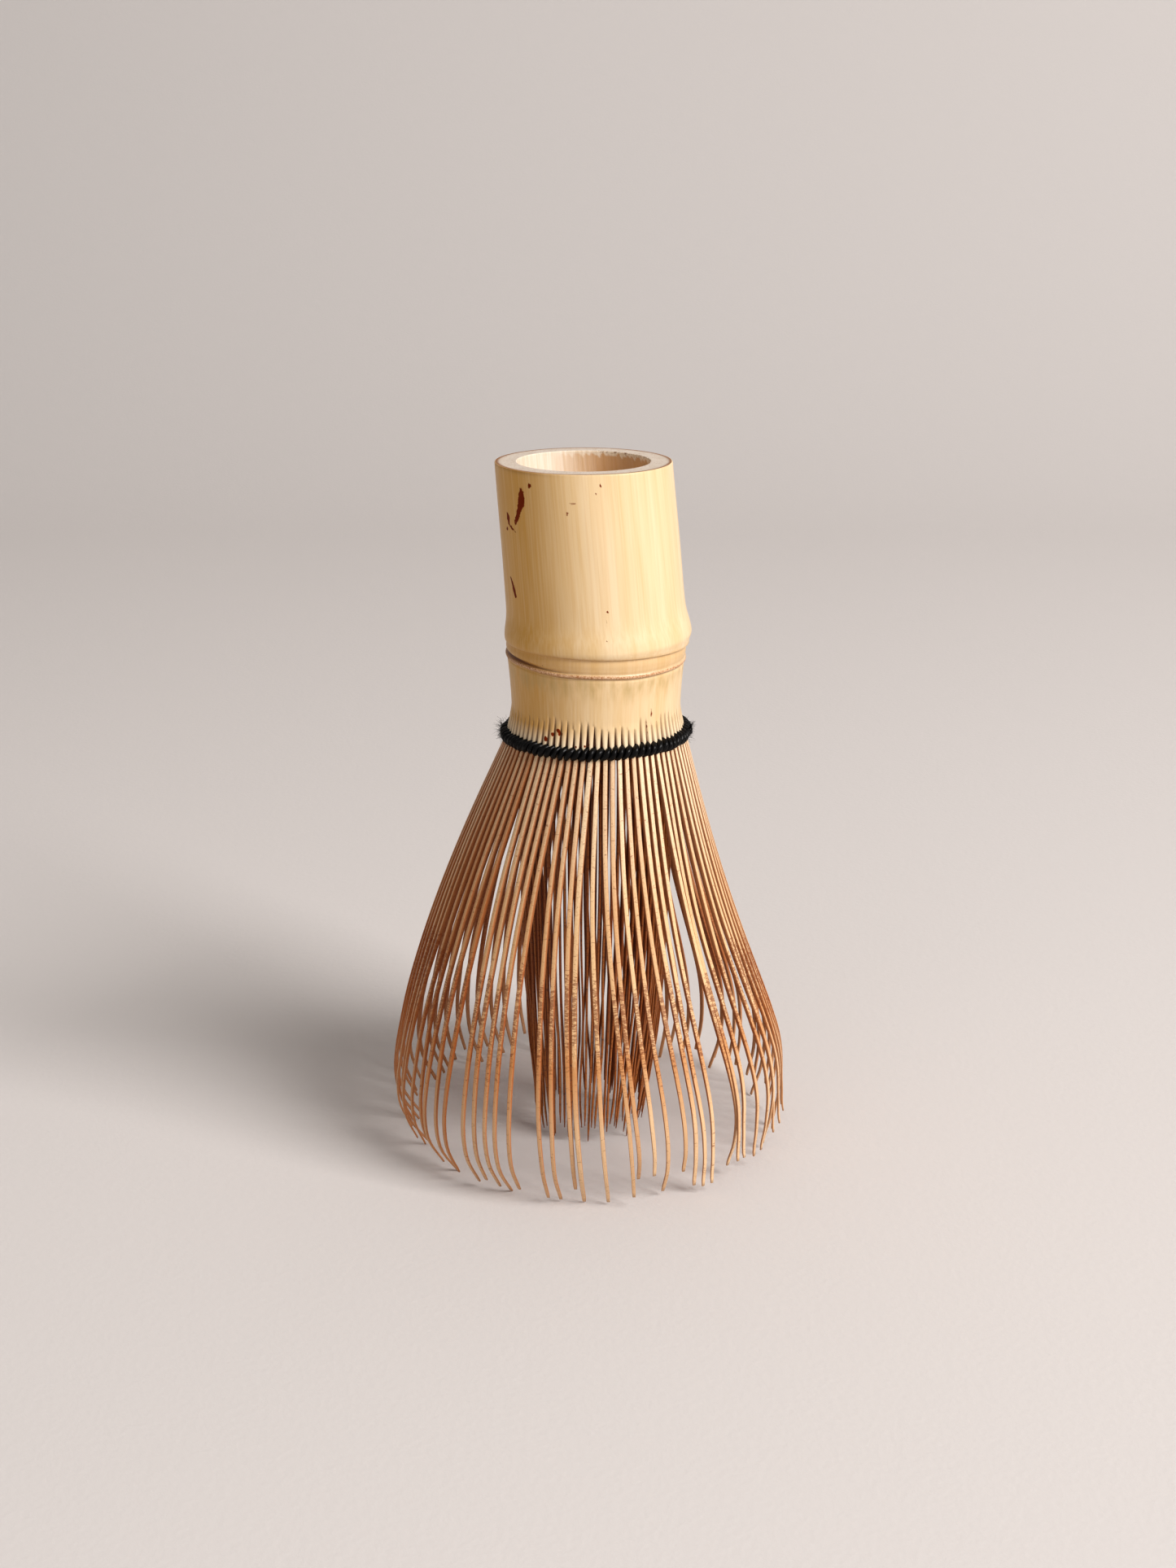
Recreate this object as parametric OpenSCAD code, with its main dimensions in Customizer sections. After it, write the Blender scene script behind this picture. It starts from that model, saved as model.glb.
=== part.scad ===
// Bamboo tea whisk: a tubular handle cut from one culm, whose lower wall is split into a ring of
// outer tines that spread and curl in at the tips and a ring of finer inner tines that gather in
// the middle, with a thread twined round the roots of the outer ones.
// It stands upright on its tine tips: +Z is up, and the origin is on the table, at the centre of
// the ring of tines.

/* [Whole whisk] */
// Height from the tine tips to the end of the handle
whisk_h = 106; // [90:1:130]
// Outer diameter of the ring of outer tines, at its widest
ring_d = 62.2; // [50:0.1:76]

/* [Handle] */
// Outer diameter of the handle at its end
handle_d = 26; // [21:0.1:31.5]
// Thickness of the handle's wall at its end
handle_wall = 3.25; // [2:0.05:5]
// Length of the handle above the node
handle_l = 26.8; // [20:0.1:34]
// Angle at which the handle leans over the collar
handle_lean = 4.8; // [0:0.1:6]
// Swelling of the culm towards the node, on the radius
handle_flare = 0.4; // [0:0.05:0.8]
// Height of the swollen ridge at the node, on the radius
ridge_h = 0.6; // [0.2:0.05:1.2]
// Distance of the ridge above the joint of handle and collar
ridge_up = 1.6; // [1:0.1:2.5]
// Height of the bore's floor, the top of the septum, above the node joint
septum_t = 2.4; // [1.5:0.1:4]
// Ledge that the wall makes round the septum, on the radius
septum_ledge = 0.85; // [0.3:0.05:2]

/* [Collar] */
// How far the collar stands out from the handle's radius at the sheath scar
scar_step = 0.35; // [0:0.05:0.8]
// Height of the raised scar line, on the radius
scar_h = 0.25; // [0.1:0.05:0.5]
// Distance of the scar line under the node joint
scar_down = 1.6; // [1:0.1:3]
// How far the collar's waist is cut in from the handle's radius
waist_in = 0.25; // [0:0.05:1]
// Distance of the waist under the node joint
waist_down = 9.8; // [8:0.1:12]
// Thickness of the collar's wall at the waist, above the tine roots
collar_wall = 2.85; // [2.2:0.05:4]
// Distance of the tine roots' lower ends under the waist
root_drop = 5.4; // [4.5:0.1:7]
// How far the outer roots splay out under the waist, on the radius
root_splay = 1.15; // [0.6:0.05:2]

/* [Tines] */
// Number of first splits of the wall, each of which flexes as one group
groups = 16; // [12:1:18]
// Number of outer tines in a group, and of inner ones
per_group = 5; // [3, 4, 5]
// Width of an outer tine
outer_w = 0.74; // [0.5:0.01:0.9]
// Thickness of an outer tine at its root
outer_root_t = 0.85; // [0.6:0.01:1]
// Thickness of an outer tine at its tip
outer_tip_t = 0.32; // [0.2:0.01:0.5]
// Width of an inner tine
inner_w = 0.33; // [0.2:0.01:0.4]
// Thickness of an inner tine at its root
inner_root_t = 0.6; // [0.4:0.01:0.8]
// Thickness of an inner tine at its tip
inner_tip_t = 0.26; // [0.2:0.01:0.4]
// Diameter over the tips of the inner tines
inner_ring_d = 16.6; // [14:0.1:20]
// Most that a tine's tip stands above the lowest tips
tip_lift = 3.6; // [0:0.1:5]
// How far the ring of outer tines bows to the left, a third of the way down
bow = 1.3; // [0:0.1:2]
// Gap that lets a tine turn under its root
flex_gap = 0.15; // [0.1:0.01:0.3]

/* [Thread] */
// Diameter of the thread
thread_d = 0.85; // [0.5:0.05:1.05]
// Clearance between the thread and the bamboo
thread_gap = 0.05; // [0.02:0.01:0.1]
// Distance between the middles of the two outer turns of thread
thread_rows = 1.15; // [0.9:0.05:1.3]
// Height of the thread's middle above the roots' lower ends
thread_up = 1.05; // [1:0.05:1.6]
// Length of the thread's loose tail
tail_l = 1.6; // [0.5:0.1:4]

/* [Hidden] */
$fn = 96;

node_z = whisk_h - handle_l;          // joint of handle and collar, at the node
scar_z = node_z - scar_down;
waist_z = node_z - waist_down;
root_z = waist_z - root_drop;         // lower ends of the static tine roots
tine_z = root_z - flex_gap;           // upper ends of the flexing tines
thread_z = root_z + thread_up;

bore_d = handle_d - 2 * handle_wall;
scar_r = handle_d / 2 + scar_step;
waist_r = handle_d / 2 - waist_in;
root_r = waist_r + root_splay;        // outer face of the outer roots' lower ends
collar_bore_r = waist_r - collar_wall;

collar_x = 1.2;                       // the collar stands a little off the ring's centre
handle_x = collar_x + 0.4;            // and the handle a little off the collar's
tips_x = 0.3;                         // and the tips nearly over it

root_flare = root_splay / root_drop;  // growth of the roots' radius for each mm down
splay_angle = atan(root_flare);
skirt_in = root_r - outer_root_t;     // inner face of the outer roots' lower ends
thread_stand = (thread_d / 2 + thread_gap) / cos(splay_angle);
back_turn_r = skirt_in - root_flare * thread_up - thread_stand;
inner_root_r = back_turn_r - thread_d / 2 - thread_gap;
slit_w = 2 * PI * root_r / (groups * per_group) - outer_w - 0.02;
slit_top = waist_z - 0.5;             // the points of the slits
slit_point = 1.1;                     // length over which a slit comes to its point
inner_top = waist_z + 1.8;            // upper face of the ring that carries the inner roots
inner_slot_top = waist_z - 0.8;

group_step = 360 / groups;
tine_step = group_step / per_group;
first_group = -93.4;                  // azimuth of group 1's middle
outer_bunch = 0.93;                   // how far a group's tines draw together at their tips
inner_bunch = 0.86;
tine_stations = 12;

outer_count = groups * per_group;
// Small differences between the tines, the same on every build
sway = rands(-1, 1, outer_count, 11); // sideways, at the tip
lean = rands(-1, 1, outer_count, 23); // in and out, at the tip
lift = rands(0, 1, outer_count, 37);  // of the tip above the table
inner_sway = rands(-1, 1, outer_count, 41);
inner_lift = rands(0, 1, outer_count, 53);

bamboo = "#E6C88F";
bamboo_cut = "#EEDCC0";
tine_tan = "#D9A868";
tine_amber = "#B9793A";
cotton_black = "#17151A";

// "01", "02" and so on, for the names of the groups
function two_digits(i) = i < 10 ? str("0", i) : str(i);

// Radius of the handle at a height above the node joint: a slight flare, and the ridge
function handle_r(up) =
    handle_d / 2
    + handle_flare * (1 - up / handle_l)
    + ridge_h * exp(-pow((up - ridge_up) / 1.9, 2));

// Radius of the collar at a height, from the waist up: a hollow curve, and the scar line
function collar_r(z) =
    waist_r
    + (scar_r - waist_r) * pow(max(0, z - waist_z) / (scar_z - waist_z), 1.5)
    + scar_h * exp(-pow((z - scar_z) / 0.45, 2));

// How far out an outer tine reaches, as a share of the ring, a share h of the way down: a
// straight run, less a curl that gathers near the tip
function reach(h) = 1.31 * h - 0.53 * pow(h, 9);

// How far the bow carries a tine from its straight run, a share h of the way down
function bowed(h) = bow * sin(180 * min(1, h / 0.75));

// Outer face of an outer tine at azimuth a, and of an inner one, as [distance from the collar's
// axis, height]
function outer_line(h, a) = [
    root_r + (ring_d / 2 - root_r) * reach(h) - bowed(h) * cos(a),
    tine_z * (1 - h)
];
function inner_line(h) = [
    inner_root_r - (inner_root_r - inner_ring_d / 2) * pow(h, 2.4),
    tine_z * (1 - h)
];

// The share of the way down at one of a tine's stations, which lie closer near the tip
function station(k, tip_h) = tip_h * pow(k / tine_stations, 0.8);

// A closed outline between a tine's outer line and the same line moved in by its thickness.
// The points are moved in by shift and the tip by lean_in, and measured from the root.
function side_in(a, b, t) = t * [(a - b)[1], (b - a)[0]] / norm(a - b);
function tine_outline(line, root_t, tip_t, stretch, lean_in) = [
    for (side = [0, 1])
        for (i = [0:tine_stations])
            let (
                k = side == 0 ? i : tine_stations - i,
                here = line[k],
                next = k < tine_stations ? line[k + 1] : here + here - line[k - 1],
                share = k / tine_stations,
                t = root_t + (tip_t - root_t) * share,
                inward = k == 0 ? [-t, 0] : -side_in(here, next, t)
            )
            [
                (here[0] - line[0][0]) * stretch + lean_in * pow(share, 3),
                here[1]
            ] + side * inward
];

// One tine: an upright blade from its root, at root_r and root_a round the collar's axis, to its
// tip, at tip_r and tip_a round the ring's centre
module tine(line, root_a, tip_a, tip_r, w, root_t, tip_t, lean_in) {
    root = [collar_x + line[0][0] * cos(root_a), line[0][0] * sin(root_a)];
    tip = [tips_x + tip_r * cos(tip_a), tip_r * sin(tip_a)];
    stretch = norm(tip - root) / abs(tip_r - line[0][0]);
    outward = tip_r > line[0][0] ? 1 : -1;
    turn = outward > 0 ? atan2(tip[1] - root[1], tip[0] - root[0])
                       : atan2(root[1] - tip[1], root[0] - tip[0]);
    translate([root[0], root[1], 0])
        rotate([0, 0, turn])
            rotate([90, 0, 0])
                translate([0, 0, -w / 2])
                    linear_extrude(w)
                        polygon(tine_outline(line, root_t, tip_t, stretch, lean_in));
}

// Puts its children in the handle's own frame, which leans at the node joint, and trims them
// level with the joint and with the handle's end
module in_handle() {
    intersection() {
        translate([handle_x, 0, node_z])
            rotate([0, -handle_lean, 0])
                children();
        translate([0, 0, node_z + handle_l / 2])
            cube([handle_d * 2, handle_d * 2, handle_l], center = true);
    }
}

module handle() {
    steps = 30;
    past = 3;                         // past the trimmed ends
    outline = [
        for (i = [0:steps]) let (up = (handle_l + 2 * past) * i / steps - past) [handle_r(up), up]
    ];
    color(bamboo)
        in_handle()
            difference() {
                rotate_extrude()
                    polygon(concat([[0, -past]], outline, [[0, handle_l + past]]));
                translate([0, 0, septum_t])
                    cylinder(d = bore_d, h = handle_l + past);
                translate([0, 0, -past - 1])
                    cylinder(r = bore_d / 2 - septum_ledge, h = septum_t + past + 2);
            }
}

module septum() {
    color(bamboo_cut)
        in_handle()
            translate([0, 0, -3])
                cylinder(r = bore_d / 2 - septum_ledge, h = septum_t + 3);
}

module collar() {
    steps = 28;
    outside = [
        for (i = [0:steps]) let (z = waist_z + (node_z - waist_z) * i / steps) [collar_r(z), z]
    ];
    inside = [
        [collar_bore_r, node_z],
        [collar_bore_r, inner_top + inner_root_r - collar_bore_r],
        [inner_root_r, inner_top],
        [inner_root_r, inner_slot_top],
        [skirt_in - root_flare * (inner_slot_top - root_z), inner_slot_top],
        [skirt_in, root_z]
    ];
    color(bamboo)
        translate([collar_x, 0, 0])
            difference() {
                rotate_extrude()
                    polygon(concat([[root_r, root_z]], outside, inside));
                for (i = [0:outer_count - 1])
                    rotate([0, 0, first_group + tine_step * (i - per_group / 2)])
                        translate([root_r + 1, 0, 0])
                            rotate([90, 0, -90])
                                linear_extrude(root_r + 1 - inner_root_r)
                                    slit_outline();
            }
}

// A slit between two roots, wide at the bottom and pointed at the top
module slit_outline() {
    half = slit_w / 2;
    polygon([
        [-half, root_z - 1],
        [half, root_z - 1],
        [half, slit_top - slit_point],
        [0, slit_top],
        [-half, slit_top - slit_point]
    ]);
}

// The ring that the inner tines spring from, with a finger for each
module inner_roots() {
    finger_gap = tine_step * PI / 180 * (inner_root_r - inner_root_t) - inner_w;
    color(tine_amber)
        translate([collar_x, 0, 0])
            difference() {
                translate([0, 0, root_z])
                    cylinder(r = inner_root_r, h = inner_top - root_z);
                translate([0, 0, root_z - 1])
                    cylinder(r = inner_root_r - inner_root_t, h = inner_top - root_z + 2);
                for (i = [0:outer_count - 1])
                    rotate([0, 0, first_group + tine_step * i])
                        translate([inner_root_r, 0, (root_z - 1 + inner_slot_top) / 2])
                            cube([3, finger_gap, inner_slot_top - root_z + 1], center = true);
            }
}

// One turn of thread laid round the collar
module thread_turn(r, z) {
    color(cotton_black)
        translate([collar_x, 0, z])
            rotate_extrude()
                translate([r, 0])
                    circle(d = thread_d, $fn = 24);
}

// Radius of a turn that lies on the outer roots
function on_roots(z) = root_r - root_flare * (z - root_z) + thread_stand;

upper_turn_z = thread_z + thread_rows / 2;
lower_turn_z = thread_z - thread_rows / 2;
module thread_upper() thread_turn(on_roots(upper_turn_z), upper_turn_z);
module thread_lower() thread_turn(on_roots(lower_turn_z), lower_turn_z);
module thread_back() thread_turn(back_turn_r, thread_z);

// The knot that ties the ends off, with its short tail
module thread_knot() {
    knot_d = thread_d * 1.3;
    color(cotton_black)
        translate([collar_x, 0, 0])
            rotate([0, 0, -8])
                translate([on_roots(upper_turn_z) + (thread_d + knot_d) / 2 + thread_gap, 0, upper_turn_z])
                    union() {
                        sphere(d = knot_d, $fn = 32);
                        rotate([0, 18, 0])
                            cylinder(d = thread_d * 0.6, h = tail_l, $fn = 24);
                    }
}

// A group of outer tines, of which the middle one always reaches the table
module outer_tines(g) {
    middle = first_group + group_step * (g - 1);
    for (j = [0:per_group - 1]) {
        i = (g - 1) * per_group + j;
        off = j - (per_group - 1) / 2;
        at_edge = abs(off) > (per_group - 1) / 2 - 0.5;
        tip_h = 1 - (off == 0 ? 0 : lift[i] * tip_lift / tine_z);
        root_a = middle + off * tine_step;
        line = [for (k = [0:tine_stations]) outer_line(station(k, tip_h), root_a)];
        tip_r = line[tine_stations][0];
        side = sway[i] * (at_edge ? 0.3 : 0.55);
        color(tine_tan)
            tine(
                line,
                root_a,
                middle + off * tine_step * outer_bunch + side * 180 / PI / tip_r,
                tip_r,
                outer_w,
                outer_root_t,
                outer_tip_t,
                lean[i] * 0.5
            );
    }
}

// A group of inner tines
module inner_tines(g) {
    middle = first_group + tine_step / 2 + group_step * (g - 1);
    for (j = [0:per_group - 1]) {
        i = (g - 1) * per_group + j;
        off = j - (per_group - 1) / 2;
        tip_h = 1 - inner_lift[i] * tip_lift / tine_z;
        line = [for (k = [0:tine_stations]) inner_line(station(k, tip_h))];
        tip_r = line[tine_stations][0];
        color(tine_amber)
            tine(
                line,
                middle + off * tine_step,
                middle + off * tine_step * inner_bunch + inner_sway[i] * 0.4,
                tip_r,
                inner_w,
                inner_root_t,
                inner_tip_t,
                0
            );
    }
}

handle();
septum();
collar();
inner_roots();
thread_upper();
thread_lower();
thread_back();
thread_knot();
for (g = [1:groups]) {
    outer_tines(g);
    inner_tines(g);
}
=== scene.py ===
import math

import bpy
import numpy as np
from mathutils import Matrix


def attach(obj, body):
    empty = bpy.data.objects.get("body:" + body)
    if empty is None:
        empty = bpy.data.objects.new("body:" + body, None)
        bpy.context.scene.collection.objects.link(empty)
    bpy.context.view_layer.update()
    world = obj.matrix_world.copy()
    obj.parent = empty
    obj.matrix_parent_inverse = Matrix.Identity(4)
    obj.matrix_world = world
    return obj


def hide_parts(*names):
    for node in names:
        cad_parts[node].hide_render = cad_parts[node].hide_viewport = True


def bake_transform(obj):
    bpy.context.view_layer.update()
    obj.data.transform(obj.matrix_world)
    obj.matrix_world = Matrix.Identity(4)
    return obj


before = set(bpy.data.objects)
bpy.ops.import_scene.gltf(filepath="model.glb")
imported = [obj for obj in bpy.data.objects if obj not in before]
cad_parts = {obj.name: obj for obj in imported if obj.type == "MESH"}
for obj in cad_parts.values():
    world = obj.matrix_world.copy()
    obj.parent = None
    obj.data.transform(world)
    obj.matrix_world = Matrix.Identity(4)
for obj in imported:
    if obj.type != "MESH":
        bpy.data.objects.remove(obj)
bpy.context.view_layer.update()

# ---------------------------------------------------------------------------------------------
# Handle: the upper internode of the culm, sawn off level 27 mm above its node.
# Madake bamboo, boiled to draw its oil and bleached in the sun, so its skin is hard and waxy.
# It is one growth with the collar below, and the swollen ridge of the node is where they meet.

end_radius = 13.0          # of the skin at the sawn end, in millimetres like every size here
culm_flare = 0.4           # growth of that radius down to the node
bore_radius = 9.75
handle_length = 26.8
node_level = 79.2
top_level = 106.0
handle_foot = 1.6          # how far the handle's axis stands off the middle of the tines
handle_lean = math.radians(4.8)
bore_floor = 2.4           # above the node, along the leaning axis
septum_radius = 8.9
edge_round = 0.16          # radius that use has given the rim's outer edge
bore_round = 0.12          # and its inner one


def on_handle(turn, level, radius):
    """Point at an azimuth, a level and a radius from the leaning axis: the radius turned to the
    azimuth, carried along the axis as far as brings it to the level."""
    tilt = radius * np.cos(turn) * math.sin(handle_lean)
    up = (level - node_level - tilt) / math.cos(handle_lean)
    x = handle_foot + radius * np.cos(turn) * math.cos(handle_lean) - up * math.sin(handle_lean)
    return np.stack([x, radius * np.sin(turn), level + 0 * x], -1)


def crease_level(turn):
    """Level of the crease under the ridge, which dips a little towards the front of the lean."""
    return 79.3 - 0.25 * np.cos(turn)


def skin_radius(turn, level):
    """Radius of the handle: the flare, a ridge that falls off slowly above its crest and fast
    below it, and low waves round and along the culm as it grew."""
    tilt = end_radius * np.cos(turn) * math.sin(handle_lean)
    up = (level - node_level) / math.cos(handle_lean) - tilt
    above = level - (80.3 + 0.55 * np.cos(turn) + 0.12 * np.sin(2 * turn + 1))
    ridge = np.where(above > 0, np.exp(-(above / 2.5) ** 2), np.exp(-(above / 1.15) ** 2))
    waves = 0.035 * np.sin(2 * turn + 0.7) + 0.02 * np.sin(5 * turn + level * 0.35)
    return end_radius + culm_flare * (1 - up / handle_length) + 0.6 * ridge + waves - 0.03


def smooth_object(name, points, faces, materials, layers):
    """Object shaded smooth, from points in millimetres and the faces between them. Layers are
    numbers for each point, which a material reads by their name."""
    mesh = bpy.data.meshes.new(name)
    mesh.from_pydata((points.reshape(-1, 3) * 0.001).tolist(), [], faces)
    for layer, values in layers.items():
        attribute = mesh.attributes.new(layer, "FLOAT", "POINT")
        attribute.data.foreach_set("value", values.reshape(-1).astype(np.float32))
    for material in materials:
        mesh.materials.append(material)
    mesh.polygons.foreach_set("use_smooth", np.ones(len(faces), bool))
    mesh.update()
    piece = bpy.data.objects.new(name, mesh)
    bpy.context.scene.collection.objects.link(piece)
    return piece


def grid_mesh(name, points, closed, materials, layers=None, zone=None):
    """Object from a grid of points in millimetres, rows by columns. Every four neighbours make a
    face, columns join round, and rows too if closed. Zone is the material of each row of faces."""
    rows, columns = points.shape[:2]
    row, column = np.meshgrid(np.arange(rows if closed else rows - 1), np.arange(columns),
                              indexing="ij")
    below, beside = (row + 1) % rows, (column + 1) % columns
    corners = [row * columns + column, row * columns + beside,
               below * columns + beside, below * columns + column]
    faces = np.stack(corners, -1).reshape(-1, 4).tolist()
    piece = smooth_object(name, points, faces, materials, layers or {})
    if zone is not None:
        index = np.repeat(np.asarray(zone, np.int32), columns)
        piece.data.polygons.foreach_set("material_index", index)
        piece.data.update()
    return piece


def linear(colour):
    """Linear RGBA of an sRGB hex colour: a channel is its value over 12.92 up to 0.04045, and
    above that it is the value plus 0.055, over 1.055, to the power 2.4."""
    channels = np.array([int(colour[i:i + 2], 16) for i in (1, 3, 5)]) / 255
    low, high = channels / 12.92, ((channels + 0.055) / 1.055) ** 2.4
    return tuple(np.where(channels <= 0.04045, low, high)) + (1.0,)


def add(tree, kind, inputs=None, **settings):
    """Adds one shader node: settings are its properties, and each input is a value or a link. In a
    colour Mix, inputs 0, 6 and 7 are its share and its two colours, and output 2 is the result."""
    made = tree.nodes.new(kind)
    for name, value in settings.items():
        setattr(made, name, value)
    for name, value in (inputs or {}).items():
        if isinstance(value, bpy.types.NodeSocket):
            tree.links.new(value, made.inputs[name])
        else:
            made.inputs[name].default_value = value
    return made


def bare_material(name):
    """New material and its node tree, with nothing in the tree yet."""
    material = bpy.data.materials.new(name)
    material.use_nodes = True
    material.node_tree.nodes.clear()
    return material, material.node_tree


def culm_skin(name, foot, lean):
    """Bleached bamboo skin round an axis that stands at foot and leans. The waxy skin gives a
    broad soft gloss, over fine fibres that run up the culm."""
    material, tree = bare_material(name)
    place = add(tree, "ShaderNodeTexCoord").outputs["Object"]
    axis = {"Vector": place, "Location": foot, "Rotation": (0, -lean, 0)}
    # vascular bundles lie about 0.3 mm apart under the skin, and run for many millimetres
    bundles = add(tree, "ShaderNodeMapping", {**axis, "Scale": (0.0003, 0.0003, 0.022)},
                  vector_type="TEXTURE").outputs[0]
    fibre = add(tree, "ShaderNodeTexNoise", {"Vector": bundles, "Scale": 1, "Detail": 3}).outputs[0]
    fibre_share = add(tree, "ShaderNodeMapRange", {
        "Value": fibre, "From Min": 0.42, "From Max": 0.75, "To Min": 0, "To Max": 0.28}).outputs[0]
    # the bleaching takes unevenly, in bands 2 mm wide
    bands = add(tree, "ShaderNodeMapping", {**axis, "Scale": (0.0021, 0.0021, 0.05)},
                vector_type="TEXTURE").outputs[0]
    bleach = add(tree, "ShaderNodeTexNoise", {"Vector": bands, "Scale": 1, "Detail": 2}).outputs[0]
    bleach_share = add(tree, "ShaderNodeMapRange", {
        "Value": bleach, "From Min": 0.35, "From Max": 0.68}).outputs[0]
    skin = add(tree, "ShaderNodeMix", {0: bleach_share, 6: linear("#EDD4AD"), 7: linear("#E6C899")},
               data_type="RGBA").outputs[2]
    skin = add(tree, "ShaderNodeMix", {0: fibre_share, 6: skin, 7: linear("#D2A566")},
               data_type="RGBA").outputs[2]
    # painted shade: the left side, away from the key light, is painted browner and deeper
    painted_side_shade = add(tree, "ShaderNodeAttribute", attribute_name="painted_side_shade").outputs["Fac"]
    mellow = add(tree, "ShaderNodeMapRange", {
        "Value": fibre, "From Min": 0.3, "From Max": 0.65, "To Min": 0.75, "To Max": 1.1}).outputs[0]
    painted_side_shade = add(tree, "ShaderNodeMath", {0: painted_side_shade, 1: mellow}, operation="MULTIPLY").outputs[0]
    skin = add(tree, "ShaderNodeMix", {0: painted_side_shade, 6: skin, 7: linear("#D3A14E")},
               data_type="RGBA").outputs[2]
    # grey-green shadows under the scar, in blotches 1.4 mm wide and 4 mm high
    cloud = add(tree, "ShaderNodeMapping", {**axis, "Scale": (0.0014, 0.0014, 0.004)},
                vector_type="TEXTURE").outputs[0]
    cloud = add(tree, "ShaderNodeTexNoise", {"Vector": cloud, "Scale": 1, "Detail": 5}).outputs[0]
    cloud = add(tree, "ShaderNodeMapRange", {
        "Value": cloud, "From Min": 0.38, "From Max": 0.78}).outputs[0]
    mottle = add(tree, "ShaderNodeAttribute", attribute_name="mottle").outputs["Fac"]
    mottle = add(tree, "ShaderNodeMath", {0: mottle, 1: cloud}, operation="MULTIPLY").outputs[0]
    skin = add(tree, "ShaderNodeMix", {0: mottle, 6: skin, 7: linear("#B5985C")},
               data_type="RGBA").outputs[2]
    # a browner band lies beside the crease and the scar, and the wall is pale where it is split
    for layer, colour in (("band", "#C2914F"), ("peel", "#F4DEBC")):
        share = add(tree, "ShaderNodeAttribute", attribute_name=layer).outputs["Fac"]
        skin = add(tree, "ShaderNodeMix", {0: share, 6: skin, 7: linear(colour)},
                   data_type="RGBA").outputs[2]
    # the scar's lip is torn into crumbs of about 0.2 mm; painted shade darkens the crease, the folds
    # round the scar and the slits, and dirt marks the rim and the hairline splits
    crumb = add(tree, "ShaderNodeTexNoise", {"Vector": place, "Scale": 4500, "Detail": 3}).outputs[0]
    torn = add(tree, "ShaderNodeMapRange", {
        "Value": crumb, "From Min": 0.35, "From Max": 0.65}).outputs[0]
    lip = add(tree, "ShaderNodeAttribute", attribute_name="lip").outputs["Fac"]
    lip_colour = add(tree, "ShaderNodeMix", {0: torn, 6: linear("#E6C4A2"), 7: linear("#B07A50")},
                     data_type="RGBA").outputs[2]
    skin = add(tree, "ShaderNodeMix", {0: lip, 6: skin, 7: lip_colour}, data_type="RGBA").outputs[2]
    shade_and_dirt = add(tree, "ShaderNodeAttribute", attribute_name="shade_and_dirt").outputs["Fac"]
    skin = add(tree, "ShaderNodeMix", {0: shade_and_dirt, 6: skin, 7: linear("#6A3212")},
               data_type="RGBA").outputs[2]
    # stains from the growing culm, rust brown with a broken edge
    stain = add(tree, "ShaderNodeAttribute", attribute_name="stain").outputs["Fac"]
    gnawed = add(tree, "ShaderNodeTexNoise", {"Vector": place, "Scale": 1500, "Detail": 4}).outputs[0]
    broken = add(tree, "ShaderNodeMath", {0: gnawed, 1: 1.1, 2: stain},
                 operation="MULTIPLY_ADD").outputs[0]
    stain = add(tree, "ShaderNodeMapRange", {
        "Value": broken, "From Min": 0.87, "From Max": 1.05}).outputs[0]
    dry = add(tree, "ShaderNodeMath", {0: stain, 1: lip}, operation="MAXIMUM").outputs[0]
    skin = add(tree, "ShaderNodeMix", {0: stain, 6: skin, 7: linear("#7A2C04")},
               data_type="RGBA").outputs[2]
    # the wax is gone where the skin is torn or stained, and those places are dull
    rough = add(tree, "ShaderNodeMapRange", {
        "Value": fibre, "From Min": 0.3, "From Max": 0.7, "To Min": 0.36, "To Max": 0.5}).outputs[0]
    waxy = add(tree, "ShaderNodeMapRange", {"Value": dry, "To Min": 0.25, "To Max": 0}).outputs[0]
    glint = add(tree, "ShaderNodeMapRange", {"Value": dry, "To Min": 0.5, "To Max": 0.08}).outputs[0]
    relief = add(tree, "ShaderNodeBump", {
        "Height": fibre, "Strength": 0.35, "Distance": 0.00006}).outputs[0]
    shader = add(tree, "ShaderNodeBsdfPrincipled", {
        "Base Color": skin, "Roughness": rough, "Normal": relief, "IOR": 1.5,
        "Specular IOR Level": glint, "Coat Weight": waxy, "Coat Roughness": 0.3})
    add(tree, "ShaderNodeOutputMaterial", {0: shader.outputs[0]})
    return material


def sawn_end():
    """Sawn bamboo end grain: matt and pale, with the dark ends of the vascular bundles in it."""
    material, tree = bare_material("sawn_end_grain")
    place = add(tree, "ShaderNodeTexCoord").outputs["Object"]
    # bundle ends about 0.45 mm apart
    cells = add(tree, "ShaderNodeTexVoronoi", {"Vector": place, "Scale": 2200, "Randomness": 0.9})
    dots = add(tree, "ShaderNodeMapRange", {
        "Value": cells.outputs["Distance"], "From Min": 0.1, "From Max": 0.34,
        "To Min": 0.55, "To Max": 0}).outputs[0]
    broad = add(tree, "ShaderNodeTexNoise", {"Vector": place, "Scale": 500, "Detail": 3}).outputs[0]
    pale = add(tree, "ShaderNodeMix", {0: broad, 6: linear("#E4D9CC"), 7: linear("#CDBCAA")},
               data_type="RGBA").outputs[2]
    pale = add(tree, "ShaderNodeMix", {0: dots, 6: pale, 7: linear("#B08862")},
               data_type="RGBA").outputs[2]
    edge = add(tree, "ShaderNodeAttribute", attribute_name="edge").outputs["Fac"]
    pale = add(tree, "ShaderNodeMix", {0: edge, 6: pale, 7: linear("#8E5C30")},
               data_type="RGBA").outputs[2]
    relief = add(tree, "ShaderNodeBump", {
        "Height": dots, "Strength": 0.5, "Distance": 0.00005}, invert=True)
    shader = add(tree, "ShaderNodeBsdfPrincipled", {
        "Base Color": pale, "Roughness": 0.7, "Normal": relief.outputs[0], "IOR": 1.45})
    add(tree, "ShaderNodeOutputMaterial", {0: shader.outputs[0]})
    return material


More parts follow.
